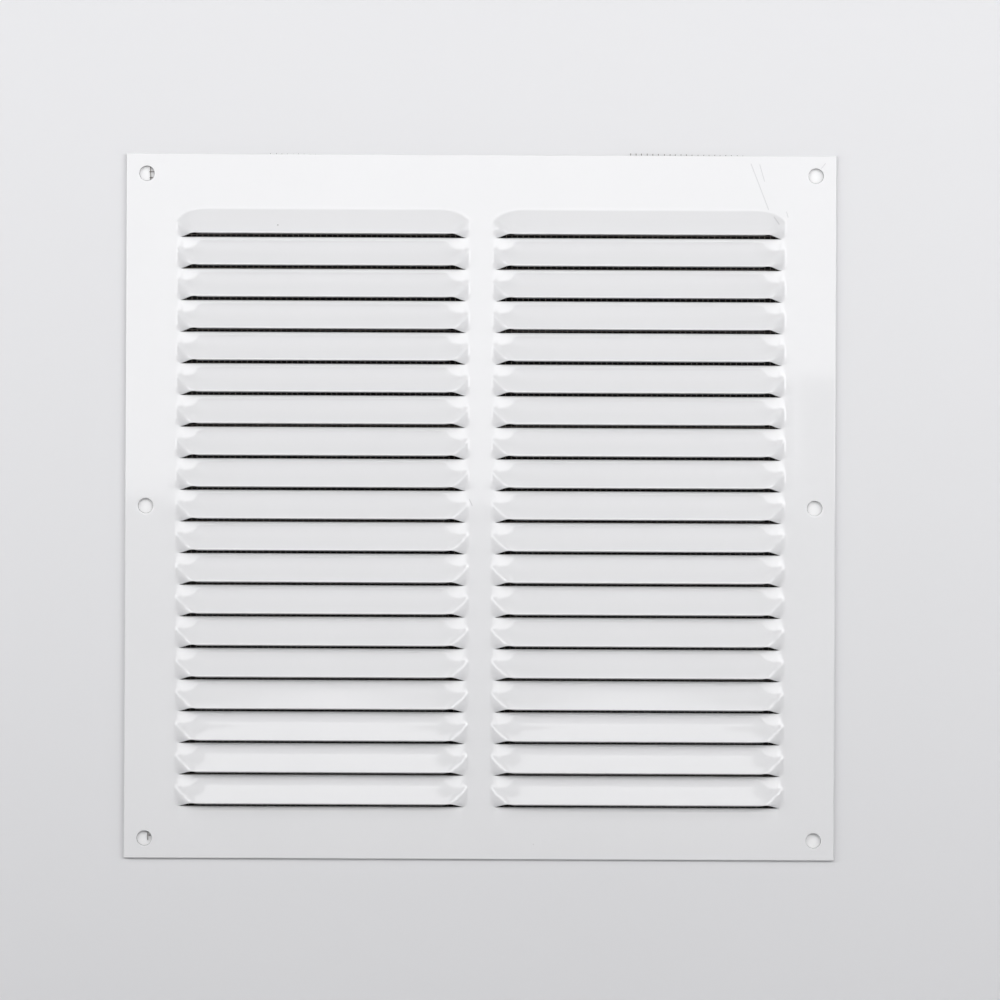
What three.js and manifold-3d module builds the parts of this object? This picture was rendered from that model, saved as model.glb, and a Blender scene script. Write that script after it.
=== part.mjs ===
// Louvred air grille: a pressed aluminium plate with two columns of louvres, and a fly screen behind it.
// Millimetres. +X is to the right and +Z is up as seen from the front. The front faces -Y, and y = 0 is the
// wall. The origin is the middle of the grille, on the wall.
import * as THREE from "three";
import { ConvexGeometry } from "three/addons/geometries/ConvexGeometry.js";
import { mergeVertices } from "three/addons/utils/BufferGeometryUtils.js";
import Module from "manifold-3d";

const wasm = await Module();
wasm.setup();

// The plate.
const PLATE_WIDTH = 229;
const PLATE_HEIGHT = 227.2;
const PLATE_THICKNESS = 0.8;

// The louvres. A louvre is cut along a level line, and the sheet above the cut is bent out about its fold.
const LOUVRE_ROWS = 19;
const LOUVRE_PITCH = 10.2;
const TOP_EDGE_TO_FIRST_CUT = 26.8;
const COLUMN_INNER_END = 3.65;
const COLUMN_OUTER_END = 98.2;
const BLADE_LENGTH = 9.1;
const BLADE_ANGLE = THREE.MathUtils.degToRad(30);

// The ends of a hood, seen from the front: a long chamfer at the fold, and a small one at the cut.
const FOLD_CHAMFER_ALONG = 5.6;
const FOLD_CHAMFER_DOWN = 3.5;
const CUT_CHAMFER = 1.7;
const END_WALL_RUN = 4.4;

// The six plain holes for the fixing screws.
const HOLE_DIAMETER = 4.7;
const HOLE_SIDES = 24;
const HOLE_X = 107.9;
const HOLE_Z = 107.2;

// The fly screen, as a sheet as thick as its two layers of wire, and the dots of adhesive that hold it.
const SCREEN_THICKNESS = 0.56;
const SCREEN_LEFT_X = -106.3;
const SCREEN_RIGHT_X = 105.3;
const SCREEN_TOP_Z = 113.4;
const SCREEN_BOTTOM_Z = -108;
const DOT_DIAMETER = 5.6;
const DOT_SIDES = 16;
const DOT_CLEARANCE = 0.3;
const DOT_MARGIN_X = 102;
const DOT_BORDER_X_STEP = 51;
const DOT_TOP_Z = 104;
const DOT_BOTTOM_Z = -102.4;
const DOT_SIDE_Z = 35;

// How far a cutting solid reaches past what it cuts.
const CUT_PAST = 1;

const PLATE_BACK_Y = -SCREEN_THICKNESS;
const PLATE_FRONT_Y = PLATE_BACK_Y - PLATE_THICKNESS;
const FIRST_CUT_Z = PLATE_HEIGHT / 2 - TOP_EDGE_TO_FIRST_CUT;
const HOOD_LENGTH = COLUMN_OUTER_END - COLUMN_INNER_END;
const COLUMN_X = (COLUMN_OUTER_END + COLUMN_INNER_END) / 2;

// Where the blade's lip ends up, from its own cut on the plate's front.
const LIP_Y = -BLADE_LENGTH * Math.sin(BLADE_ANGLE);
const LIP_Z = BLADE_LENGTH * (1 - Math.cos(BLADE_ANGLE));

const WHITE_PAINT = new THREE.MeshStandardMaterial({
  color: 0xf1f1f2,
  roughness: 0.25,
  metalness: 0,
});
const SCREEN_WIRE = new THREE.MeshStandardMaterial({
  color: 0x6a655e,
  roughness: 0.45,
  metalness: 0.6,
});
const ADHESIVE = new THREE.MeshStandardMaterial({
  color: 0xe6dcc2,
  roughness: 0.35,
  metalness: 0,
});

// A closed geometry as a manifold-3d solid.
function toSolid(geometry) {
  const bare = geometry.clone();
  bare.deleteAttribute("normal");
  bare.deleteAttribute("uv");
  const merged = mergeVertices(bare, 1e-5);
  return new wasm.Manifold(
    new wasm.Mesh({
      numProp: 3,
      vertProperties: new Float32Array(merged.attributes.position.array),
      triVerts: new Uint32Array(merged.index.array),
    }),
  );
}

// A manifold-3d solid as a three.js geometry.
function toGeometry(solid) {
  const mesh = solid.getMesh();
  const geometry = new THREE.BufferGeometry();
  geometry.setAttribute("position", new THREE.BufferAttribute(mesh.vertProperties, 3));
  geometry.setIndex(new THREE.BufferAttribute(mesh.triVerts, 1));
  const flatShaded = geometry.toNonIndexed();
  flatShaded.computeVertexNormals();
  return flatShaded;
}

// A round bar along Y between two depths.
function barAlongY(diameter, sides, x, z, frontY, backY) {
  const bar = new THREE.CylinderGeometry(diameter / 2, diameter / 2, backY - frontY, sides);
  return bar.translate(x, (frontY + backY) / 2, z);
}

// The solid that lies behind every one of a set of planes, whose normals point out of it.
function solidBehind(planes) {
  const corners = [];
  const isInside = (point) => planes.every((plane) => plane.distanceToPoint(point) < 1e-6);
  const isNew = (point) => corners.every((corner) => corner.distanceTo(point) > 1e-4);
  for (let i = 0; i < planes.length; i++) {
    for (let j = i + 1; j < planes.length; j++) {
      for (let k = j + 1; k < planes.length; k++) {
        const corner = whereThreeMeet(planes[i], planes[j], planes[k]);
        if (corner && isInside(corner) && isNew(corner)) corners.push(corner);
      }
    }
  }
  return toSolid(new ConvexGeometry(corners));
}

function whereThreeMeet(a, b, c) {
  const bc = new THREE.Vector3().crossVectors(b.normal, c.normal);
  const ca = new THREE.Vector3().crossVectors(c.normal, a.normal);
  const ab = new THREE.Vector3().crossVectors(a.normal, b.normal);
  const determinant = a.normal.dot(bc);
  if (Math.abs(determinant) < 1e-6) return null;
  bc.multiplyScalar(-a.constant);
  ca.multiplyScalar(-b.constant);
  ab.multiplyScalar(-c.constant);
  return bc.add(ca).add(ab).divideScalar(determinant);
}

// The plane through three points that has a given point behind it.
function planeThrough(a, b, c, behind) {
  const plane = new THREE.Plane().setFromCoplanarPoints(a, b, c);
  return plane.distanceToPoint(behind) > 0 ? plane.negate() : plane;
}

function planeAt(point, normalX, normalY, normalZ) {
  const normal = new THREE.Vector3(normalX, normalY, normalZ).normalize();
  return new THREE.Plane().setFromNormalAndCoplanarPoint(normal, point);
}

// The blade and the chamfered ends of one hood, as planes on its outer skin. The hood's own origin is the
// middle of its cut, on the plate's front.
function hoodSkin() {
  const half = HOOD_LENGTH / 2;
  const inside = new THREE.Vector3(0, LIP_Y / 4, BLADE_LENGTH / 2);
  const fold = new THREE.Vector3(0, 0, BLADE_LENGTH);
  const skin = [planeAt(fold, 0, -Math.cos(BLADE_ANGLE), Math.sin(BLADE_ANGLE))];
  for (const side of [-1, 1]) {
    const point = (inset, y, z) => new THREE.Vector3(side * (half - inset), y, z);
    const foldEnd = point(FOLD_CHAMFER_ALONG, 0, BLADE_LENGTH);
    const endTop = point(0, 0, BLADE_LENGTH - FOLD_CHAMFER_DOWN);
    const endBottom = point(0, 0, CUT_CHAMFER);
    const cutEnd = point(CUT_CHAMFER, 0, 0);
    const lipEnd = point(END_WALL_RUN, LIP_Y, LIP_Z);
    skin.push(planeThrough(foldEnd, endTop, lipEnd, inside));
    skin.push(planeThrough(endTop, endBottom, lipEnd, inside));
    skin.push(planeThrough(endBottom, cutEnd, lipEnd, inside));
  }
  return skin;
}

// The outside of one hood: its skin, the lip square to the blade, and the way from the lip back to the cut.
function hoodOutside() {
  const lip = new THREE.Vector3(0, LIP_Y, LIP_Z);
  const intoSheet = new THREE.Vector3(0, Math.cos(BLADE_ANGLE), -Math.sin(BLADE_ANGLE));
  const innerLip = lip.clone().addScaledVector(intoSheet, PLATE_THICKNESS);
  const cut = new THREE.Vector3(0, 0, 0);
  return solidBehind([
    ...hoodSkin(),
    planeAt(lip, 0, -Math.sin(BLADE_ANGLE), -Math.cos(BLADE_ANGLE)),
    planeAt(cut, 0, -innerLip.z, innerLip.y),
    planeAt(new THREE.Vector3(0, PLATE_THICKNESS / 2, 0), 0, 1, 0),
  ]);
}

// The hollow behind one hood: the skin moved in by the sheet's thickness, open at the cut and at the back.
function hoodHollow() {
  const innerSkin = hoodSkin().map((plane) => {
    plane.constant += PLATE_THICKNESS;
    return plane;
  });
  return solidBehind([
    ...innerSkin,
    planeAt(new THREE.Vector3(0, 0, 0), 0, 0, -1),
    planeAt(new THREE.Vector3(0, PLATE_THICKNESS + CUT_PAST, 0), 0, 1, 0),
  ]);
}

function louvrePlaces() {
  const places = [];
  for (let row = 0; row < LOUVRE_ROWS; row++) {
    for (const side of [-1, 1]) {
      places.push([side * COLUMN_X, PLATE_FRONT_Y, FIRST_CUT_Z - row * LOUVRE_PITCH]);
    }
  }
  return places;
}

function facePlate() {
  const sheet = new THREE.BoxGeometry(PLATE_WIDTH, PLATE_THICKNESS, PLATE_HEIGHT);
  let plate = toSolid(sheet.translate(0, (PLATE_FRONT_Y + PLATE_BACK_Y) / 2, 0));
  const outside = hoodOutside();
  const hollow = hoodHollow();
  const places = louvrePlaces();
  for (const place of places) plate = plate.add(outside.translate(place));
  for (const place of places) plate = plate.subtract(hollow.translate(place));
  for (const x of [-HOLE_X, HOLE_X]) {
    for (const z of [-HOLE_Z, 0, HOLE_Z]) {
      const frontY = PLATE_FRONT_Y - CUT_PAST;
      const backY = PLATE_BACK_Y + CUT_PAST;
      plate = plate.subtract(toSolid(barAlongY(HOLE_DIAMETER, HOLE_SIDES, x, z, frontY, backY)));
    }
  }
  return plate;
}

// Where the dots are: along both borders, on the side margins and on the bar between the columns.
function dotPlaces() {
  const places = [];
  for (let step = -2; step <= 2; step++) {
    places.push([step * DOT_BORDER_X_STEP, DOT_TOP_Z]);
    places.push([step * DOT_BORDER_X_STEP, DOT_BOTTOM_Z]);
  }
  for (const x of [-DOT_MARGIN_X, 0, DOT_MARGIN_X]) {
    for (const z of [-DOT_SIDE_Z, DOT_SIDE_Z]) places.push([x, z]);
  }
  return places;
}

function flyScreen() {
  const width = SCREEN_RIGHT_X - SCREEN_LEFT_X;
  const height = SCREEN_TOP_Z - SCREEN_BOTTOM_Z;
  const middleX = (SCREEN_RIGHT_X + SCREEN_LEFT_X) / 2;
  const middleZ = (SCREEN_TOP_Z + SCREEN_BOTTOM_Z) / 2;
  const sheet = new THREE.BoxGeometry(width, SCREEN_THICKNESS, height);
  let screen = toSolid(sheet.translate(middleX, -SCREEN_THICKNESS / 2, middleZ));
  const opening = DOT_DIAMETER + 2 * DOT_CLEARANCE;
  for (const [x, z] of dotPlaces()) {
    const frontY = PLATE_BACK_Y - CUT_PAST;
    screen = screen.subtract(toSolid(barAlongY(opening, DOT_SIDES, x, z, frontY, CUT_PAST)));
  }
  return screen;
}

function named(name, geometry, material) {
  const mesh = new THREE.Mesh(geometry, material);
  mesh.name = name;
  return mesh;
}

const group = new THREE.Group();
group.add(named("face_plate", toGeometry(facePlate()), WHITE_PAINT));
group.add(named("fly_screen", toGeometry(flyScreen()), SCREEN_WIRE));
dotPlaces().forEach(([x, z], index) => {
  const dot = barAlongY(DOT_DIAMETER, DOT_SIDES, x, z, PLATE_BACK_Y, 0);
  group.add(named(`glue_dot_${index + 1}`, dot, ADHESIVE));
});

export default group;
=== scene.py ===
"""Louvred air grille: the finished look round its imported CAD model. Metres, +Z up, front to -Y."""

import math

import bmesh
import bpy
import numpy as np
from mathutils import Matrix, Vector


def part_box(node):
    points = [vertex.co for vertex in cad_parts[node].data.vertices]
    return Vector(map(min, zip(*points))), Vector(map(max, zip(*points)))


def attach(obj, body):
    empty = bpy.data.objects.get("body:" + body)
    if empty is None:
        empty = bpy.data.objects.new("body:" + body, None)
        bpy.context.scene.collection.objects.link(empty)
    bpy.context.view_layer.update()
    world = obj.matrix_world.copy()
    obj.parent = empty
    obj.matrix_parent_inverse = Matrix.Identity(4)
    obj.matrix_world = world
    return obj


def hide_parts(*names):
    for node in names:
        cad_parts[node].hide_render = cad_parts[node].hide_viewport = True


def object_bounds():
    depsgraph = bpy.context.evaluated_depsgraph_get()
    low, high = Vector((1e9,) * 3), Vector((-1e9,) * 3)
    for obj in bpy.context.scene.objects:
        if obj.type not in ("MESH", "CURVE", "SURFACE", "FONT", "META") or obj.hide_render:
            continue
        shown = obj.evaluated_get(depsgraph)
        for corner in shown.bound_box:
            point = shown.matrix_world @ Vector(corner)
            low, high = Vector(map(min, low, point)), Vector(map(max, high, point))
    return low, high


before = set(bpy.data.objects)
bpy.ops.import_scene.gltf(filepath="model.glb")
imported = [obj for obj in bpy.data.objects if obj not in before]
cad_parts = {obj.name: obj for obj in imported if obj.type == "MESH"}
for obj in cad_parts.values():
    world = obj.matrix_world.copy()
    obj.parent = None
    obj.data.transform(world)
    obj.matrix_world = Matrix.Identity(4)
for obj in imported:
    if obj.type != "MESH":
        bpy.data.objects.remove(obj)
CAD_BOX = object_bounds()

MM = 0.001
BODY = "root"

# The pressing, in millimetres.
SHEET = 0.8
ROWS = 19
PITCH = 10.2
TOP_EDGE_TO_FIRST_CUT = 26.8
INNER_END = 3.65
OUTER_END = 98.2
BLADE = 9.1
BLADE_ANGLE = math.radians(30)
LIP_OUT = BLADE * math.sin(BLADE_ANGLE)
END_WALL_RUN = 5.6     # how far in from its end a hood reaches its full height
# The blade's fold turns down in a corner at each end: its reach along and down, the power of its
# curve, and its rise. The top row's corner is rounded outwards. In the other rows the web above has
# drawn it in.
TOP_CORNER = (9.3, 5.2, 0.7, 2.2)
WEB_CORNER = (7.0, 2.85, 2.5, 2.6)
CORNER_LIFT = 0.4
CUT_CORNER = 1.5       # how far up a hood's end its small lower corner reaches
CUT_START = 0.95       # how far in from a hood's end its cut begins
CUT_OPEN = 2.05        # and how far in it begins to open
HOLE_RADIUS = 2.35
HOLE_X = 107.9
HOLE_Z = 107.2
HOLES = tuple((x, z) for x in (-HOLE_X, HOLE_X) for z in (-HOLE_Z, 0.0, HOLE_Z))

# The fly screen, in millimetres.
WIRE = 0.28
WIRE_PITCH = 1.814

_low, _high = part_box("face_plate")
PLATE_HALF_WIDTH = _high.x / MM
PLATE_TOP = _high.z / MM
PLATE_BACK = _high.y / MM
PLATE_FRONT = PLATE_BACK - SHEET
FIRST_CUT_Z = PLATE_TOP - TOP_EDGE_TO_FIRST_CUT

SLACK = 1e-6   # how close two places count as the same, millimetres


# ---------------------------------------------------------------- shapes

def smooth_min(a, b, blend):
    """The lower of two heights, with the corner between them rounded over."""
    near = np.clip(blend - np.abs(a - b), 0, None) / blend
    return np.minimum(a, b) - near * near * blend / 4


def smooth_max(a, b, blend):
    """The higher of two heights, with the corner between them rounded in."""
    return -smooth_min(-a, -b, blend)


def fade(value, low, high):
    """0 below low, 1 above high, and an S curve between."""
    share = np.clip((value - low) / (high - low), 0, 1)
    return share * share * (3 - 2 * share)


# How far the corners between a hood's surfaces are rounded, in millimetres.
FOLD_BLEND = 0.22        # the fold above the blade: crisp along its middle
FOLD_END_BLEND = 0.15    # and crisper still round the corners at each end
FOLD_END_REACH = 9.0
BASE_BLEND = 0.3         # an end wall's foot
CORNER_BLEND = 0.9       # the blade where the fold turns down at its ends
RIDGE_BLEND = 1.6        # the ridge between the blade and an end wall
CUT_CORNER_BLEND = 0.5
LEAST_BLEND = 0.01       # the ridge's smallest share of its rounding, at its foot

CUT_CORNER_SLOPE = 1.25
SPRING_BACK = math.radians(0.6)         # the blade's middle opens a little less than its ends
WEB_TILT = math.tan(math.radians(10))   # the web between two cuts leans out at its ends
WEB_LEANS = (-0.5, 2.5, 5.0, 7.5)       # how far in the lean begins, is full, fades and is gone


def hood_height(from_end, above_cut, has_web):
    """How far a hood stands out, at a distance in from its end and a flat distance above its cut."""
    middle = (OUTER_END - INNER_END) / 2
    openness = np.clip(from_end / middle, 0, 1) ** 0.5
    angle = BLADE_ANGLE + SPRING_BACK * (0.5 - openness)
    down_blade = BLADE - above_cut
    blade = down_blade * np.sin(angle)
    corners = zip(WEB_CORNER, TOP_CORNER)
    reach, drop, power, rise = (np.where(has_web, web, top) for web, top in corners)
    along = np.clip(from_end / reach, 0, None) ** power
    down = np.clip(down_blade / drop, 0, None) ** power
    corner_rise = rise * ((along + down) ** (1 / power) - 1) + CORNER_LIFT
    near_end = 1 - fade(from_end, 0, FOLD_END_REACH)
    begins, full, fades, gone = WEB_LEANS
    leaning = has_web * fade(from_end, begins, full) * (1 - fade(from_end, fades, gone))
    web = WEB_TILT * leaning * (down_blade + PITCH - BLADE)
    fold_blend = FOLD_BLEND + (FOLD_END_BLEND - FOLD_BLEND) * near_end
    top = smooth_max(smooth_min(blade, corner_rise, CORNER_BLEND), web, fold_blend)
    end_wall = from_end * LIP_OUT / END_WALL_RUN
    cut_corner = CUT_CORNER_SLOPE * (from_end - CUT_OPEN + above_cut * CUT_OPEN / CUT_CORNER)
    end = smooth_max(smooth_min(end_wall, cut_corner, CUT_CORNER_BLEND), 0, BASE_BLEND)
    ridge = RIDGE_BLEND * np.clip(np.minimum(top, end) / RIDGE_BLEND, LEAST_BLEND, 1)
    return np.clip(smooth_min(top, end, ridge), 0, None)


def mesh_object(name, points, faces, materials, face_materials=None):
    """A new object from points in millimetres."""
    mesh = bpy.data.meshes.new(name)
    mesh.from_pydata((np.asarray(points) * MM).tolist(), [], faces)
    for material in materials:
        mesh.materials.append(material)
    if face_materials is not None:
        mesh.polygons.foreach_set("material_index", np.asarray(face_materials, np.int32))
    mesh.polygons.foreach_set("use_smooth", np.full(len(mesh.polygons), True))
    mesh.validate()
    mesh.update()
    made = bpy.data.objects.new(name, mesh)
    bpy.context.scene.collection.objects.link(made)
    return made


# ---------------------------------------------------------------- the plate

# All in millimetres.
ROLL = 0.25             # the rounded-over edge that shearing and paint leave
CUT_ROLL_SLOPE = 0.3    # how fast it grows from the end of a cut
BARE_SHADED_RIM = 0.12         # how far out round a screw hole the metal is bare, a dark rim that is partly painted shade
FRONT, BACK, BARE_AND_SHADE = range(3)    # the plate's materials, by number

# The lines of the grid that the plate is made of.
ROLL_STEPS = (0.0, 0.1, ROLL)               # on either side of a cut
EDGE_STEPS = (0.0, 0.1, ROLL, 0.45)         # in from the plate's outer edges
END_STEP = CUT_START / 2
END_LINES = np.concatenate([np.arange(-1, 11), 11.6 + 1.7 * np.arange(7)]) * END_STEP
MIDDLE_LINES = 7                            # from the last line at one end to that at the other
HOOD_FOOT = 1.5 * END_STEP                  # how far out past a hood's end its first line may lie
MARGIN_LINE = 101.5                         # between the hoods and the holes
BLADE_LINES = np.concatenate([[0.7, 1.9, 3.2], np.linspace(3.2, 8.5, 10)[1:]])
FOLD_LINES = np.linspace(8.5, 9.7, 5)[1:]
HOLE_BLOCK = 3.6                            # half the side of the block round a screw hole
HOLE_STEPS = 6                              # and how many cells it is wide
HOLE_GAPS = (0.9, ROLL, 0.1, 0.0)           # how far out from a hole's rim its rings lie


def rolled_back(distance, radius):
    """How far the skin drops behind its flat at a distance from a sheared edge."""
    radius = np.maximum(radius, SLACK)
    short = np.clip(radius - distance, 0, radius)
    return radius - np.sqrt(np.maximum(radius * radius - short * short, 0))


def lines_across():
    """The grid's lines across the plate: close together at the hoods' ends and round the holes."""
    length = OUTER_END - INNER_END
    middle = np.linspace(END_LINES[-1], length - END_LINES[-1], MIDDLE_LINES)[1:-1]
    column = INNER_END + np.concatenate([END_LINES, middle, length - END_LINES[::-1]])
    block = np.linspace(HOLE_X - HOLE_BLOCK, HOLE_X + HOLE_BLOCK, HOLE_STEPS + 1)
    edge = PLATE_HALF_WIDTH - np.array(EDGE_STEPS[::-1])
    right = np.concatenate([column, [MARGIN_LINE], block, edge])
    return np.concatenate([-right[::-1], [0.0], right])


def lines_up():
    """The grid's lines up the plate, and for each the louvre whose cut it is, or -1."""
    rolled = np.array(ROLL_STEPS)
    outer = np.array(EDGE_STEPS)
    one = np.concatenate([rolled, BLADE_LINES, FOLD_LINES, PITCH - rolled[:0:-1]])
    block = np.linspace(-HOLE_BLOCK, HOLE_BLOCK, HOLE_STEPS + 1)
    bottom_cut = FIRST_CUT_Z - (ROWS - 1) * PITCH
    heights = [-PLATE_TOP + outer, -HOLE_Z + block, bottom_cut - rolled[:0:-1]]
    cuts = [np.full(len(h), -1) for h in heights]
    for row in range(ROWS - 1, -1, -1):
        top_row = row == 0
        steps = one[:-2] if top_row else one
        heights.append(FIRST_CUT_Z - row * PITCH + steps)
        cuts.append(np.where(np.arange(len(steps)) == 0, row, -1))
    heights += [HOLE_Z + block, PLATE_TOP - outer[::-1]]
    cuts += [np.full(HOLE_STEPS + 1, -1), np.full(len(outer), -1)]
    return np.concatenate(heights), np.concatenate(cuts)


def in_column(x):
    """How far in from the nearer end of its column's hoods a place is. Negative outside."""
    return np.minimum(np.abs(x) - INNER_END, OUTER_END - np.abs(x))


def skin_points(x, z, z_cut, above):
    """The plate's flat skin at (x, z), bent out into a hood where it lies above a cut, at z_cut."""
    from_end = in_column(x)
    is_hood = (above >= -SLACK) & (above < PITCH - SLACK) & (from_end > -HOOD_FOOT)
    has_web = z_cut < FIRST_CUT_Z - PITCH / 2
    height = np.where(is_hood, hood_height(from_end, np.clip(above, 0, None), has_web), 0.0)
    risen = z + math.tan(BLADE_ANGLE / 2) * height
    return np.stack([x, PLATE_FRONT - height, risen], axis=-1)


def is_bare_shaded_rim(points, quads):
    """Whether each face lies on the rim of a screw hole, where the bare metal doubles as painted
    shade.
    """
    middle = points[quads].mean(axis=1)
    x, z = np.abs(middle[:, 0]), np.abs(middle[:, 2])
    from_hole = np.minimum(np.hypot(x - HOLE_X, z), np.hypot(x - HOLE_X, z - HOLE_Z))
    return from_hole < HOLE_RADIUS + BARE_SHADED_RIM


def build_plate(materials):
    """The pressed plate: one grid for its whole skin, parted at the cuts, ringed round the holes."""
    xs = lines_across()
    zs, cuts = lines_up()
    columns, rows = len(xs), len(zs)
    grid_x, grid_z = np.meshgrid(xs, zs)
    row_of = np.floor((FIRST_CUT_Z - grid_z) / PITCH - SLACK) + 1
    row_of = np.clip(row_of, 0, ROWS - 1)
    z_cut = FIRST_CUT_Z - row_of * PITCH
    points = skin_points(grid_x, grid_z, z_cut, grid_z - z_cut).reshape(-1, 3)
    roll = edge_roll(grid_x, grid_z).reshape(-1)
    upper = np.arange(rows * columns).reshape(rows, columns)
    lower = upper.copy()
    points, roll, lower = open_cuts(points, roll, upper, lower, xs, zs, cuts)
    cells = np.ones((rows - 1, columns - 1), bool)
    rims = [clear_hole(cells, xs, zs, x, z) for x, z in HOLES]
    faces = []
    for j in range(rows - 1):
        for i in np.nonzero(cells[j])[0]:
            faces.append((upper[j, i], upper[j, i + 1], lower[j + 1, i + 1], lower[j + 1, i]))
    for (x, z), rim in zip(HOLES, rims):
        points, roll, more = hole_rings(points, roll, upper, xs, zs, x, z, rim)
        faces += more
    return thicken("face_plate_pressing", points, roll, faces, materials)


def edge_roll(x, z):
    """The roll at the plate's four outer edges."""
    side = rolled_back(PLATE_HALF_WIDTH - np.abs(x), ROLL)
    top = rolled_back(PLATE_TOP - np.abs(z), ROLL)
    return np.maximum(side, top)


def open_cuts(points, roll, upper, lower, xs, zs, cuts):
    """Parts the sheet along every cut, and rolls both of the cut's edges.

    upper holds the numbers of the points on the hoods' side of a line, and lower those on the other.
    """
    from_end = in_column(xs)
    open_at = np.nonzero(from_end > CUT_START + SLACK)[0]
    radius = np.clip((from_end - CUT_START) * CUT_ROLL_SLOPE, 0, ROLL)
    extra_points, extra_roll = [], []
    total = len(points)
    for j in np.nonzero(cuts >= 0)[0]:
        for i in open_at:
            lower[j, i] = total + len(extra_points)
            extra_points.append((xs[i], PLATE_FRONT, zs[j]))
            extra_roll.append(rolled_back(0.0, radius[i]))
            for step in range(len(ROLL_STEPS)):
                drop = rolled_back(ROLL_STEPS[step], radius[i])
                roll[upper[j + step, i]] = max(roll[upper[j + step, i]], drop)
                if step:
                    roll[upper[j - step, i]] = max(roll[upper[j - step, i]], drop)
    return np.vstack([points, extra_points]), np.concatenate([roll, extra_roll]), lower


def lines_round(lines, middle):
    """The numbers of the grid's last line before a hole's rings and its first line after them."""
    before = np.searchsorted(lines, middle - HOLE_BLOCK + SLACK) - 1
    after = np.searchsorted(lines, middle + HOLE_BLOCK - SLACK)
    return int(before), int(after)


def clear_hole(cells, xs, zs, x, z):
    """Takes out the cells round a hole, and returns the gap's rim: (row, column) pairs in order."""
    i0, i1 = lines_round(xs, x)
    j0, j1 = lines_round(zs, z)
    cells[j0:j1, i0:i1] = False
    rim = [(j0, i) for i in range(i0, i1)]
    rim += [(j, i1) for j in range(j0, j1)]
    rim += [(j1, i) for i in range(i1, i0, -1)]
    rim += [(j, i0) for j in range(j1, j0, -1)]
    return rim


def hole_rings(points, roll, upper, xs, zs, x, z, rim):
    """Rings from a square gap in to a round hole with a rolled edge."""
    outer = [int(upper[j, i]) for j, i in rim]
    angles = np.array([math.atan2(zs[j] - z, xs[i] - x) for j, i in rim])
    faces = []
    for gap in HOLE_GAPS:
        radius = HOLE_RADIUS + gap
        ring_x, ring_z = x + radius * np.cos(angles), z + radius * np.sin(angles)
        ring = np.stack([ring_x, np.full(len(rim), PLATE_FRONT), ring_z], -1)
        start = len(points)
        points = np.vstack([points, ring])
        roll = np.concatenate([roll, np.full(len(rim), float(rolled_back(gap, ROLL)))])
        inner = list(range(start, start + len(rim)))
        for k in range(len(rim)):
            after = (k + 1) % len(rim)
            faces.append((outer[k], outer[after], inner[after], inner[k]))
        outer = inner
    return points, roll, faces


def thicken(name, points, roll, faces, materials):
    """A solid sheet from its front skin: its front edges rolled, and walls wherever it ends.

    The materials are the front's, the back's and the bare metal's, which round the holes is also
    painted shade.
    """
    skin = bpy.data.meshes.new("skin")
    skin.from_pydata(points.tolist(), [], faces)
    skin.update()
    normals = np.empty(len(points) * 3, np.float32)
    skin.vertices.foreach_get("normal", normals)
    normals = normals.reshape(-1, 3).astype(float)
    bpy.data.meshes.remove(skin)
    count = len(points)
    front = points - normals * roll[:, None]
    back = points - normals * SHEET
    quads = np.array(faces)
    directed = {}
    for a, b in ((0, 1), (1, 2), (2, 3), (3, 0)):
        for p, q in zip(quads[:, a].tolist(), quads[:, b].tolist()):
            directed[(p, q)] = True
    walls = [(q, p, p + count, q + count) for p, q in directed if (q, p) not in directed]
    back_faces = (quads[:, ::-1] + count).tolist()
    every = [tuple(f) for f in quads.tolist()] + [tuple(f) for f in back_faces] + walls
    # Faces on a screw hole's rim get the bare metal, which also paints the shade round the hole's
    # edge.
    kinds = np.where(is_bare_shaded_rim(points, quads), BARE_AND_SHADE, FRONT).tolist()
    kinds += [BACK] * len(back_faces) + [BARE_AND_SHADE] * len(walls)
    plate = mesh_object(name, np.vstack([front, back]), every, materials, kinds)
    used = np.zeros(2 * count, bool)
    for face in every:
        used[list(face)] = True
    if not used.all():
        drop_loose(plate)
    return plate


def drop_loose(thing):
    """Deletes the points that belong to no face."""
    work = bmesh.new()
    work.from_mesh(thing.data)
    loose = [v for v in work.verts if not v.link_faces]
    bmesh.ops.delete(work, geom=loose, context="VERTS")
    work.to_mesh(thing.data)
    work.free()


# ---------------------------------------------------------------- the fly screen

# All in millimetres.
FIRST_UPRIGHT = 0.1       # how far in from the screen's left edge its first upright wire lies
FIRST_LEVEL = 1.6         # and how far up from its lower edge its first level wire
TOP_MARGIN = 0.3          # no level wire lies this close to the upper edge
BOTTOM_FRINGE = 0.1       # how far below the lower edge the longest upright wires hang
RAGGED_BOTTOM = 0.3       # how unevenly the wires are cut there,
RAGGED_TOP = 0.12         # along the top
RAGGED_SIDE = 0.25        # and at the sides
END_CLEAR = (0.05, 0.2)   # how far at least a level and an upright wire run past a crossing
SCREEN_WAVE = 0.06        # how far a wire strays sideways
WAVE_SCALES = (37.0, 11.0)
TURN = 6.28               # a random phase lies between 0 and this
DRAWN_IN = 1.1            # how far the screen's left edge is drawn in at half its height
EDGE_BOW = 1.8            # how far it bows out from there to its ends
DRAWN_REACH = 20.0        # and how far from that edge the wires follow it
UPPER_CUT = -0.35         # how far the screen's top edge stands above the plate's, but for the snips
SNIP_FALL = 0.6           # the share of its height that a snip loses over its run
# Start, height and run of two strokes of the shears.
SNIPS = ((-69.0, 0.35, 18.0), (47.0, 0.75, 38.0))

WIRE_CORNERS = 4          # a wire's section is square
END_SWING = 0.6           # how much of its swing over and under a wire keeps at its ends
UPRIGHT_SEED, LEVEL_SEED = 7, 11


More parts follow.
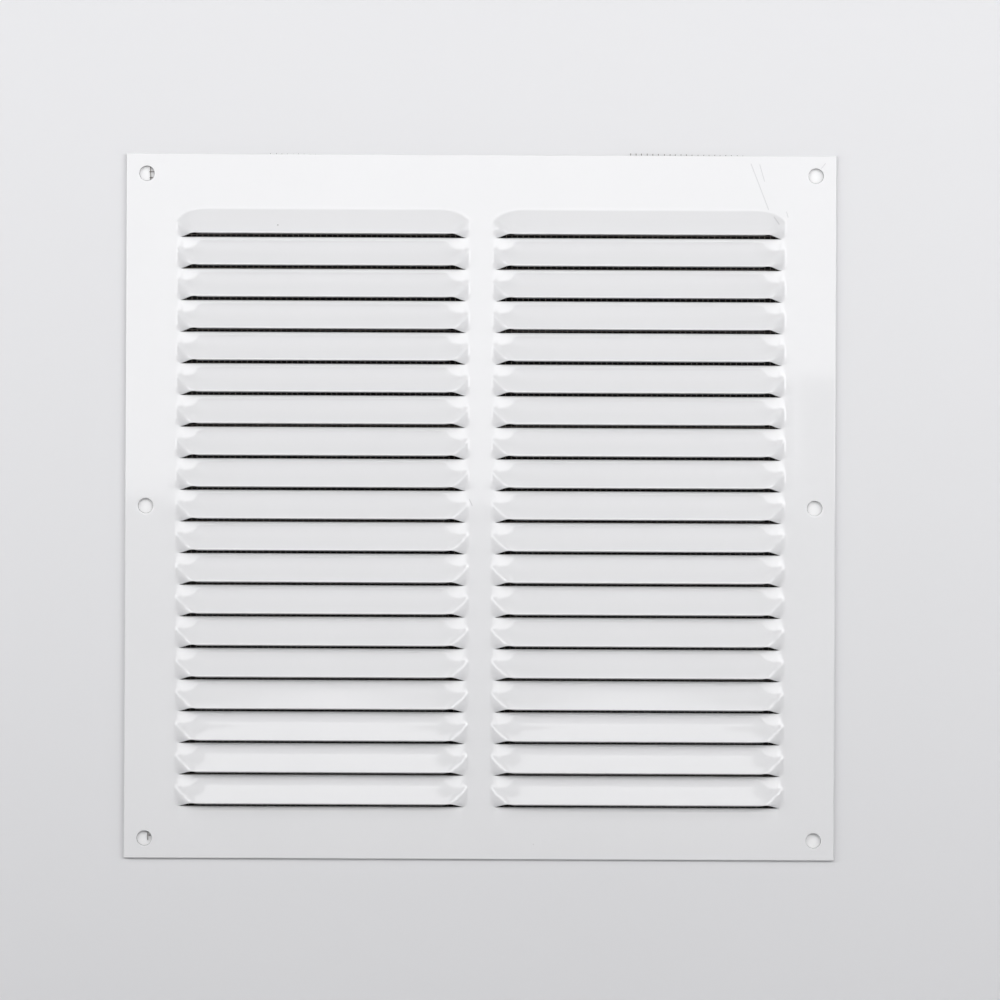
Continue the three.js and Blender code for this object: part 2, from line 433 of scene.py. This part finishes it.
def wire_set(name, upright, material):
    """The upright or the level wires of the plain weave: square bars that go over and under."""
    low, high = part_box("fly_screen")
    left, right = low.x / MM, high.x / MM
    bottom, top = low.z / MM, high.z / MM
    upright_at = np.arange(left + FIRST_UPRIGHT, right, WIRE_PITCH)
    level_at = np.arange(bottom + FIRST_LEVEL, top - TOP_MARGIN, WIRE_PITCH)
    middle_y = PLATE_BACK + WIRE
    across = upright_at if upright else level_at
    crossings = level_at if upright else upright_at
    random = np.random.default_rng(UPRIGHT_SEED if upright else LEVEL_SEED)
    points, faces = [], []
    for index, place in enumerate(across):
        along, side = wire_path(index, place, crossings, upright, left, right, bottom, random)
        over = np.where((np.arange(len(along)) + index + (0 if upright else 1)) % 2 == 0, 1.0, -1.0)
        over[0], over[-1] = over[0] * END_SWING, over[-1] * END_SWING
        depth = middle_y + over * WIRE / 2
        start = len(points)
        for k in range(len(along)):
            for corner in range(WIRE_CORNERS):
                turn = math.pi / 2 * corner + math.pi / 4
                a, b = WIRE / 2 * math.cos(turn), WIRE / 2 * math.sin(turn)
                if upright:
                    points.append((side[k] + a, depth[k] + b, along[k]))
                else:
                    points.append((along[k], depth[k] + b, side[k] + a))
        for k in range(len(along) - 1):
            for corner in range(WIRE_CORNERS):
                here, there = start + WIRE_CORNERS * k, start + WIRE_CORNERS * (k + 1)
                after = (corner + 1) % WIRE_CORNERS
                quad = (here + corner, here + after, there + after, there + corner)
                faces.append(quad if upright else quad[::-1])
        end = start + WIRE_CORNERS * (len(along) - 1)
        caps = ((start + 3, start + 2, start + 1, start), (end, end + 1, end + 2, end + 3))
        faces += caps if upright else (caps[0][::-1], caps[1][::-1])
    return mesh_object(name, points, faces, [material])


def cut_height(x):
    """How far the screen's sheared top edge stands above the plate's own top."""
    height = UPPER_CUT
    for start, tall, run in SNIPS:
        if start <= x <= start + run:
            height = tall * (1 - SNIP_FALL * (x - start) / run)
    return height


def drawn_in(x, z, left):
    """How far the weave is pulled in from its left edge, which isn't quite straight."""
    share = np.clip(1 - (x - left) / DRAWN_REACH, 0, 1)
    return share * (DRAWN_IN - EDGE_BOW * np.clip(z / HOLE_Z, -1, 1) ** 2)


def wire_path(index, place, crossings, upright, left, right, bottom, random):
    """The places along one wire, crossing by crossing, and where it lies to the side at each."""
    if upright:
        start = bottom - BOTTOM_FRINGE + RAGGED_BOTTOM * random.random()
        end = PLATE_TOP + cut_height(place) - RAGGED_TOP * random.random()
    else:
        crossings = crossings + drawn_in(crossings, place, left)
        start = left + drawn_in(left, place, left) - RAGGED_SIDE * random.random()
        end = right + RAGGED_SIDE * random.random()
    clear = END_CLEAR[int(upright)]
    inner = crossings[(crossings > start + clear) & (crossings < end - clear)]
    along = np.concatenate([[start], inner, [end]])
    phase = random.random() * TURN
    slow, quick = WAVE_SCALES
    side = place + SCREEN_WAVE * np.sin(along / slow + phase)
    side = side + SCREEN_WAVE * np.sin(along / quick + index)
    if upright:
        side = side + drawn_in(place, along, left)
    return along, side


# ---------------------------------------------------------------- the adhesive

DOT_RINGS = 7
DOT_SPOKES = 28
DOT_LOBES = 3
DOT_LOBE = 0.06           # how far a lobe swells or draws in the outline, as a share of it
DOT_HEIGHT = 0.62         # a dot's least height, millimetres
DOT_HEIGHT_RANGE = 0.1
DOT_DOME_POWER = 2.6      # flatter on top than a ball


def glue_dot(node, seed, material):
    """One dot of hot-melt: a low, uneven dome that has run through the mesh onto the plate."""
    low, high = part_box(node)
    middle_x, middle_z = (low.x + high.x) / 2 / MM, (low.z + high.z) / 2 / MM
    base = (high.x - low.x) / 2 / MM
    random = np.random.default_rng(seed)
    lobes = random.uniform(-DOT_LOBE, DOT_LOBE, DOT_LOBES)
    phases = random.uniform(0, TURN, DOT_LOBES)
    tall = DOT_HEIGHT + DOT_HEIGHT_RANGE * random.random()
    points, faces = [], []
    turns = np.linspace(0, 2 * math.pi, DOT_SPOKES, endpoint=False)
    swell = sum(lobes[n] * np.cos((n + 1) * turns + phases[n]) for n in range(DOT_LOBES))
    outline = base * (1 + swell)
    for ring in range(1, DOT_RINGS + 1):
        share = ring / DOT_RINGS
        height = tall * math.sqrt(max(1 - share ** DOT_DOME_POWER, 0))
        for turn, reach in zip(turns, outline):
            x = middle_x + share * reach * math.cos(turn)
            z = middle_z + share * reach * math.sin(turn)
            points.append((x, PLATE_BACK + height, z))
    crown = len(points)
    points.append((middle_x, PLATE_BACK + tall, middle_z))
    foot = len(points)
    points.append((middle_x, PLATE_BACK, middle_z))
    for spoke in range(DOT_SPOKES):
        after = (spoke + 1) % DOT_SPOKES
        faces.append((crown, after, spoke))
        for ring in range(DOT_RINGS - 1):
            a, b = ring * DOT_SPOKES, (ring + 1) * DOT_SPOKES
            faces.append((a + spoke, a + after, b + after, b + spoke))
        last = (DOT_RINGS - 1) * DOT_SPOKES
        faces.append((last + spoke, last + after, foot))
    return mesh_object(node + "_melt", points, faces, [material])


# ---------------------------------------------------------------- materials

COLOUR_A, COLOUR_B, COLOUR_OUT = 6, 7, 2    # a Mix node's sockets when it mixes colours


def new_material(name):
    """An empty material with a Principled shader on its output."""
    material = bpy.data.materials.new(name)
    material.use_nodes = True
    tree = material.node_tree
    tree.nodes.clear()
    output = tree.nodes.new("ShaderNodeOutputMaterial")
    shader = tree.nodes.new("ShaderNodeBsdfPrincipled")
    tree.links.new(shader.outputs["BSDF"], output.inputs["Surface"])
    return material, tree, shader, output


def add(tree, kind, inputs=None, **settings):
    """A new node, its settings made first and its inputs then linked or set."""
    node = tree.nodes.new(kind)
    for key, value in settings.items():
        setattr(node, key, value)
    for key, value in (inputs or {}).items():
        if isinstance(value, bpy.types.NodeSocket):
            tree.links.new(value, node.inputs[key])
        else:
            node.inputs[key].default_value = value
    return node


def maths(tree, operation, inputs, **settings):
    return add(tree, "ShaderNodeMath", inputs, operation=operation, **settings).outputs[0]


def vector_math(tree, operation, inputs, output="Vector"):
    return add(tree, "ShaderNodeVectorMath", inputs, operation=operation).outputs[output]


def object_place(tree):
    return add(tree, "ShaderNodeTexCoord").outputs["Object"]


def noise(tree, place, scale, detail):
    inputs = {"Vector": place, "Scale": scale, "Detail": detail}
    return add(tree, "ShaderNodeTexNoise", inputs).outputs["Fac"]


def ramp(tree, value, stops):
    """Colours or plain levels spread over a value, from (position, colour) pairs."""
    made = add(tree, "ShaderNodeValToRGB", {"Fac": value})
    elements = made.color_ramp.elements
    while len(elements) < len(stops):
        elements.new(0.5)
    for element, (position, colour) in zip(elements, stops):
        element.position = position
        rgb = colour if isinstance(colour, tuple) else (colour, colour, colour)
        element.color = (*rgb, 1)
    return made.outputs["Color"]


# Fine scratches in the paint, in millimetres from the plate's middle: both ends as (x, z), and the
# width.
SCRATCHES = (
    ((86.9, 111.0), (92.6, 96.3), 0.22),
    ((89.7, 110.8), (91.3, 105.4), 0.18),
    ((94.4, 93.9), (95.9, 91.6), 0.30),
    ((109.6, 109.7), (110.9, 111.3), 0.16),
    ((98.4, 95.6), (98.9, 93.9), 0.20),
    ((-3.5, 2.4), (-2.6, 0.5), 0.25),
)


def scratch(tree, plate_place, start, end, width):
    """1 on the line of a scratch, and 0 from its width away."""
    (x0, z0), (x1, z1) = start, end
    along = Vector((x1 - x0, 0, z1 - z0))
    offset = vector_math(tree, "SUBTRACT", {0: plate_place, 1: (x0, 0, z0)})
    reach = vector_math(tree, "DOT_PRODUCT", {0: offset, 1: tuple(along)}, "Value")
    share = maths(tree, "DIVIDE", {0: reach, 1: along.length_squared}, use_clamp=True)
    foot = vector_math(tree, "SCALE", {0: tuple(along), "Scale": share})
    gap = vector_math(tree, "DISTANCE", {0: offset, 1: foot}, "Value")
    edge = {"Value": gap, "From Min": 0.0, "From Max": width, "To Min": 1.0, "To Max": 0.0}
    return add(tree, "ShaderNodeMapRange", edge, interpolation_type="SMOOTHSTEP").outputs[0]


def all_scratches(tree, place):
    """1 on any of the scratches. Depth doesn't count, so a scratch may cross a hood."""
    in_mm = vector_math(tree, "MULTIPLY", {0: place, 1: (1 / MM, 0, 1 / MM)})
    total = None
    for start, end, width in SCRATCHES:
        one = scratch(tree, in_mm, start, end, width)
        total = one if total is None else maths(tree, "MAXIMUM", {0: total, 1: one})
    return total


SPECK_CORE = 0.6     # the share of a speck's reach that is fully dark


def specks(tree, place, scale, size, share):
    """Small round flecks: a share of the cells of a grid of that scale hold one."""
    cells = add(tree, "ShaderNodeTexVoronoi", {"Vector": place, "Scale": scale})
    dot = {"Value": cells.outputs["Distance"], "From Min": size * SPECK_CORE, "From Max": size}
    near = add(tree, "ShaderNodeMapRange", {**dot, "To Min": 1.0, "To Max": 0.0}).outputs[0]
    pick = add(tree, "ShaderNodeSeparateColor", {"Color": cells.outputs["Color"]}).outputs[0]
    chosen = maths(tree, "LESS_THAN", {0: pick, 1: share})
    return maths(tree, "MULTIPLY", {0: near, 1: chosen})


def mixed(tree, share, first, second):
    """The first colour, with a share of the second over it."""
    made = add(tree, "ShaderNodeMix", {0: share}, data_type="RGBA")
    for key, value in ((COLOUR_A, first), (COLOUR_B, second)):
        if isinstance(value, bpy.types.NodeSocket):
            tree.links.new(value, made.inputs[key])
        else:
            made.inputs[key].default_value = (*value, 1)
    return made.outputs[COLOUR_OUT]


def bump(tree, height, strength, distance, below=None, invert=False):
    """A normal bent by a height, over the normal below where there is one."""
    inputs = {"Height": height, "Strength": strength, "Distance": distance}
    if below is not None:
        inputs["Normal"] = below
    return add(tree, "ShaderNodeBump", inputs, invert=invert).outputs["Normal"]


def grain(tree, place, scale, detail, low, high, start=0.3, stop=0.7):
    """Noise spread between two colours or levels."""
    return ramp(tree, noise(tree, place, scale, detail), [(start, low), (stop, high)])


def white_paint():
    """Gloss white coil paint: faint clouding, fine orange peel, flecks of dirt, and scratches."""
    material, tree, shader, _ = new_material("gloss_white_paint")
    place = object_place(tree)
    clean = grain(tree, place, 18, 3, (0.768, 0.768, 0.78), (0.782, 0.782, 0.794))
    dirt = specks(tree, place, scale=60, size=0.016, share=0.12)
    flecked = mixed(tree, maths(tree, "MULTIPLY", {0: dirt, 1: 0.75}), clean, (0.16, 0.15, 0.15))
    marks = all_scratches(tree, place)
    dulled = mixed(tree, maths(tree, "MULTIPLY", {0: marks, 1: 0.5}), flecked, (0.36, 0.36, 0.38))
    tree.links.new(dulled, shader.inputs["Base Color"])
    gloss = grain(tree, place, 60, 4, 0.035, 0.06, stop=0.75)
    worn = maths(tree, "MULTIPLY_ADD", {0: marks, 1: 0.35, 2: gloss})
    tree.links.new(worn, shader.inputs["Roughness"])
    shader.inputs["IOR"].default_value = 1.5
    broad = bump(tree, noise(tree, place, 20, 1), strength=0.3, distance=0.1 * MM)
    fine = bump(tree, noise(tree, place, 900, 2), strength=0.08, distance=0.03 * MM, below=broad)
    cut = bump(tree, marks, strength=0.6, distance=0.08 * MM, below=fine, invert=True)
    tree.links.new(cut, shader.inputs["Normal"])
    return material


def back_coat():
    """The dull grey primer on the plate's back."""
    material, tree, shader, _ = new_material("back_primer")
    place = object_place(tree)
    colour = grain(tree, place, 40, 4, (0.46, 0.46, 0.47), (0.54, 0.54, 0.55))
    tree.links.new(colour, shader.inputs["Base Color"])
    rough = grain(tree, place, 120, 3, 0.38, 0.52)
    tree.links.new(rough, shader.inputs["Roughness"])
    tooth = bump(tree, noise(tree, place, 1400, 2), strength=0.15, distance=0.03 * MM)
    tree.links.new(tooth, shader.inputs["Normal"])
    return material


def sheared_metal_and_rim_shade():
    """Dull grey sheared edges where the paint has broken away; round the screw holes also painted
    shade.
    """
    material, tree, shader, _ = new_material("sheared_metal_and_rim_shade")
    place = object_place(tree)
    colour = grain(tree, place, 300, 3, (0.2, 0.2, 0.205), (0.3, 0.3, 0.305))
    tree.links.new(colour, shader.inputs["Base Color"])
    rough = grain(tree, place, 700, 2, 0.4, 0.6)
    tree.links.new(rough, shader.inputs["Roughness"])
    shader.inputs["Metallic"].default_value = 0.6
    tear = bump(tree, noise(tree, place, 1800, 2), strength=0.2, distance=0.03 * MM)
    tree.links.new(tear, shader.inputs["Normal"])
    return material


def screen_wire():
    """Dark, slightly rusty steel wire."""
    material, tree, shader, _ = new_material("screen_wire")
    place = object_place(tree)
    colour = grain(tree, place, 220, 3, (0.10, 0.085, 0.075), (0.17, 0.15, 0.135))
    tree.links.new(colour, shader.inputs["Base Color"])
    rough = grain(tree, place, 500, 2, 0.32, 0.5)
    tree.links.new(rough, shader.inputs["Roughness"])
    shader.inputs["Metallic"].default_value = 0.7
    return material


def hot_melt():
    """Amber hot-melt adhesive, a little see-through."""
    material, tree, shader, _ = new_material("hot_melt")
    place = object_place(tree)
    colour = grain(tree, place, 350, 3, (0.62, 0.52, 0.34), (0.72, 0.63, 0.45))
    tree.links.new(colour, shader.inputs["Base Color"])
    rough = grain(tree, place, 500, 2, 0.22, 0.36)
    tree.links.new(rough, shader.inputs["Roughness"])
    shader.inputs["Alpha"].default_value = 0.82
    ripple = bump(tree, noise(tree, place, 700, 2), strength=0.2, distance=0.1 * MM)
    tree.links.new(ripple, shader.inputs["Normal"])
    return material


def stage_paper(name, tone):
    """A matt paper for the stage."""
    material, tree, shader, output = new_material(name)
    place = object_place(tree)
    colour = grain(tree, place, 6, 2, tuple(c * 0.99 for c in tone), tone)
    tree.links.new(colour, shader.inputs["Base Color"])
    shader.inputs["Roughness"].default_value = 0.9
    shader.inputs["Specular IOR Level"].default_value = 0.1
    return material, tree, shader, output


def one_sided(tree, shader, output):
    """Clear from behind, so that a wall doesn't hide the part from a camera at the back."""
    geometry = add(tree, "ShaderNodeNewGeometry")
    clear = add(tree, "ShaderNodeBsdfTransparent")
    sides = {1: shader.outputs["BSDF"], 2: clear.outputs["BSDF"]}
    seen = add(tree, "ShaderNodeMixShader", {0: geometry.outputs["Backfacing"], **sides})
    tree.links.new(seen.outputs["Shader"], output.inputs["Surface"])


# ---------------------------------------------------------------- the stage

# All in metres.
WALL_GAP = 0.0001            # between the part's back and the wall
STAGE_REACH = 3.0
FLOOR_DROP = 0.55
DUCT_HALF_WIDTH = 0.0985     # the opening in the wall behind the louvres
DUCT_TOP = 0.0985
DUCT_BOTTOM = -0.1005
DUCT_DEPTH = 0.03            # the near-black sheet behind it, painted shade, and how far that reaches each way
DUCT_REACH = 0.16
WHITER_PATCH_HALF_WIDTH = 0.1135     # a whiter patch of the wall, hidden behind the plate but for its holes
WHITER_PATCH_HALF_HEIGHT = 0.1125


def flat_sheets(name, points, faces, material):
    """A piece of the stage, made of flat faces."""
    mesh = bpy.data.meshes.new(name)
    mesh.from_pydata(points, [], faces)
    mesh.materials.append(material)
    made = bpy.data.objects.new(name, mesh)
    bpy.context.scene.collection.objects.link(made)
    return made


def rectangle(x0, x1, z0, z1, y):
    """The corners of an upright rectangle, in order."""
    return [(x0, y, z0), (x1, y, z0), (x1, y, z1), (x0, y, z1)]


def build_stage():
    """A pale wall with a whiter patch behind the part and painted shade behind its opening, clear
    from the back; a floor.
    """
    wall_y = CAD_BOX[1][1] + WALL_GAP
    ground = CAD_BOX[0][2] - FLOOR_DROP
    far = STAGE_REACH
    paper, tree, shader, output = stage_paper("wall_paper", (0.73, 0.73, 0.745))
    one_sided(tree, shader, output)
    mouth = rectangle(-DUCT_HALF_WIDTH, DUCT_HALF_WIDTH, DUCT_BOTTOM, DUCT_TOP, wall_y)
    border = rectangle(-WHITER_PATCH_HALF_WIDTH, WHITER_PATCH_HALF_WIDTH, -WHITER_PATCH_HALF_HEIGHT, WHITER_PATCH_HALF_HEIGHT, wall_y)
    ring = [(k, (k + 1) % 4, 4 + (k + 1) % 4, 4 + k) for k in range(4)]
    wall = flat_sheets("wall", rectangle(-far, far, ground, far, wall_y) + border, ring, paper)
    wall.visible_shadow = False
    # The wall behind the plate is whiter, so the screw holes look brighter than the wall round the
    # plate.
    white, tree, shader, output = stage_paper("whiter_wall_patch", (0.93, 0.93, 0.935))
    one_sided(tree, shader, output)
    whiter_patch = flat_sheets("whiter_patch", border + mouth, ring, white)
    whiter_patch.visible_shadow = False
    # A near-black sheet behind the opening: painted shade for the dark inside of the duct, seen
    # through the slots.
    dark, tree, shader, output = stage_paper("painted_duct_shade", (0.012, 0.012, 0.012))
    one_sided(tree, shader, output)
    end = rectangle(-DUCT_REACH, DUCT_REACH, -DUCT_REACH, DUCT_REACH, wall_y + DUCT_DEPTH)
    duct_shade_sheet = flat_sheets("duct_shade_sheet", end, [(0, 1, 2, 3)], dark)
    duct_shade_sheet.visible_shadow = False
    floor_paper, *_ = stage_paper("floor_paper", (0.74, 0.74, 0.745))
    corners = [(-far, -far, ground), (far, -far, ground), (far, far, ground), (-far, far, ground)]
    flat_sheets("floor", corners, [(0, 1, 2, 3)], floor_paper)


def area_light(name, place, aim, width, height, radiance):
    """A soft box of a given radiance, in watts per steradian and square metre."""
    light = bpy.data.lights.new(name, "AREA")
    light.shape = "RECTANGLE"
    light.size, light.size_y = width, height
    light.energy = radiance * math.pi * width * height
    made = bpy.data.objects.new(name, light)
    made.location = place
    made.rotation_euler = (Vector(aim) - Vector(place)).to_track_quat("-Z", "Y").to_euler()
    made.visible_camera = False
    bpy.context.scene.collection.objects.link(made)
    return made


# The camera: metres, but for the sensor's millimetres.
CAMERA_DISTANCE = 1.4
FRAME_WIDTH = 0.3225           # how wide the picture is at the plate's front
SENSOR_WIDTH = 36.0
PLATE_RIGHT_OF_AXIS = -0.0064
PLATE_ABOVE_AXIS = -0.0023
CAMERA_ROLL = math.radians(0.25)

# Soft boxes in front of the part, all in one plane: their edges, in metres.
FRONT_PANELS = -0.6
PANEL_FOOT = 0.0036
RAISED_FOOT = 0.06
PANEL_TOP = 0.35
UPPER_TOP = 0.86
PANEL_STEP = 0.143             # where the middle panel's foot steps up, to the right of the part
PANEL_INNER = 0.24
PANEL_OUTER = 0.6
PANEL_FAR = 1.5
SIDE_BOXES = (("left_wing", -33.5), ("right_wing", 33.5), ("left_side", -57.5), ("right_side", 57.5))


def front_panel(name, left, right, low, high, radiance):
    """A soft box standing in a plane parallel to the wall, in front of the part."""
    place = ((left + right) / 2, FRONT_PANELS, (low + high) / 2)
    return area_light(name, place, (place[0], 0, place[2]), right - left, high - low, radiance)


def aimed_box(name, azimuth, elevations, distance, width, radiance):
    """A soft box aimed at the part; azimuth 0 is straight in front, plus to the right."""
    lowest, highest = (math.radians(angle) for angle in elevations)
    middle = (lowest + highest) / 2
    turn = math.radians(azimuth)
    level = distance * math.cos(middle)
    place = (level * math.sin(turn), -level * math.cos(turn), distance * math.sin(middle))
    tall = 2 * distance * math.tan((highest - lowest) / 2)
    return area_light(name, place, (0, 0, 0), width, tall, radiance)


def build_lights():
    """Soft boxes: the paint mirrors the front panels, and the hoods' ends those to the sides."""
    inner, outer, far = PANEL_INNER, PANEL_OUTER, PANEL_FAR
    front_panel("centre_panel", -inner, PANEL_STEP, PANEL_FOOT, PANEL_TOP, radiance=1.8)
    front_panel("raised_panel", PANEL_STEP, inner, RAISED_FOOT, PANEL_TOP, radiance=1.8)
    front_panel("left_panel", -outer, -inner, PANEL_FOOT, PANEL_TOP, radiance=1.3)
    front_panel("right_panel", inner, outer, PANEL_FOOT, PANEL_TOP, radiance=1.3)
    front_panel("far_left_panel", -far, -outer, PANEL_FOOT, PANEL_TOP, radiance=2.6)
    front_panel("far_right_panel", outer, far, PANEL_FOOT, PANEL_TOP, radiance=2.6)
    front_panel("upper_panel", -inner, inner, PANEL_TOP, UPPER_TOP, radiance=2.1)
    aimed_box("main_box", 0, (11, 30), distance=1.1, width=0.9, radiance=1.1)
    aimed_box("right_box", 38, (0, 20), distance=1.1, width=0.4, radiance=2.0)
    for name, azimuth in SIDE_BOXES:
        aimed_box(name, azimuth, (0, 20), distance=0.9, width=0.38, radiance=1.8)
    area_light("side_fill", (-0.62, -0.29, 0.05), (0, -0.29, 0.05), 0.42, 0.6, radiance=0.3)
    area_light("back_fill", (0.5, 1.1, 0.6), (0, 0, 0), 1.2, 1.2, radiance=2.5)
    world = bpy.data.worlds.new("room")
    world.use_nodes = True
    sky = world.node_tree.nodes["Background"]
    sky.inputs["Color"].default_value = (0.92, 0.94, 1.0, 1)
    sky.inputs["Strength"].default_value = 0.03
    bpy.context.scene.world = world


def build_camera():
    """The camera, straight in front but for a slight shift and roll."""
    camera = bpy.data.cameras.new("camera")
    camera.sensor_width = SENSOR_WIDTH
    camera.lens = SENSOR_WIDTH * CAMERA_DISTANCE / FRAME_WIDTH
    camera.clip_start = 0.05
    camera.clip_end = 20
    made = bpy.data.objects.new("camera", camera)
    front = PLATE_FRONT * MM
    made.location = (-PLATE_RIGHT_OF_AXIS, front - CAMERA_DISTANCE, -PLATE_ABOVE_AXIS)
    made.rotation_euler = (math.pi / 2, -CAMERA_ROLL, 0)
    bpy.context.scene.collection.objects.link(made)
    bpy.context.scene.camera = made


# ---------------------------------------------------------------- the part

def build_part():
    """Every finished piece, each in place of its CAD node."""
    plate = build_plate([white_paint(), back_coat(), sheared_metal_and_rim_shade()])
    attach(plate, BODY)
    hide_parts("face_plate")
    wire = screen_wire()
    for name, upright in (("fly_screen_upright_wires", True), ("fly_screen_level_wires", False)):
        wires = wire_set(name, upright, wire)
        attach(wires, BODY)
        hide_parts("fly_screen")
    melt = hot_melt()
    for node in sorted(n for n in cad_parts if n.startswith("glue_dot_")):
        dot = glue_dot(node, int(node.rsplit("_", 1)[1]), melt)
        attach(dot, BODY)
        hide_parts(node)


build_camera()
build_part()
build_stage()
build_lights()
bpy.context.scene.view_settings.view_transform = "Standard"
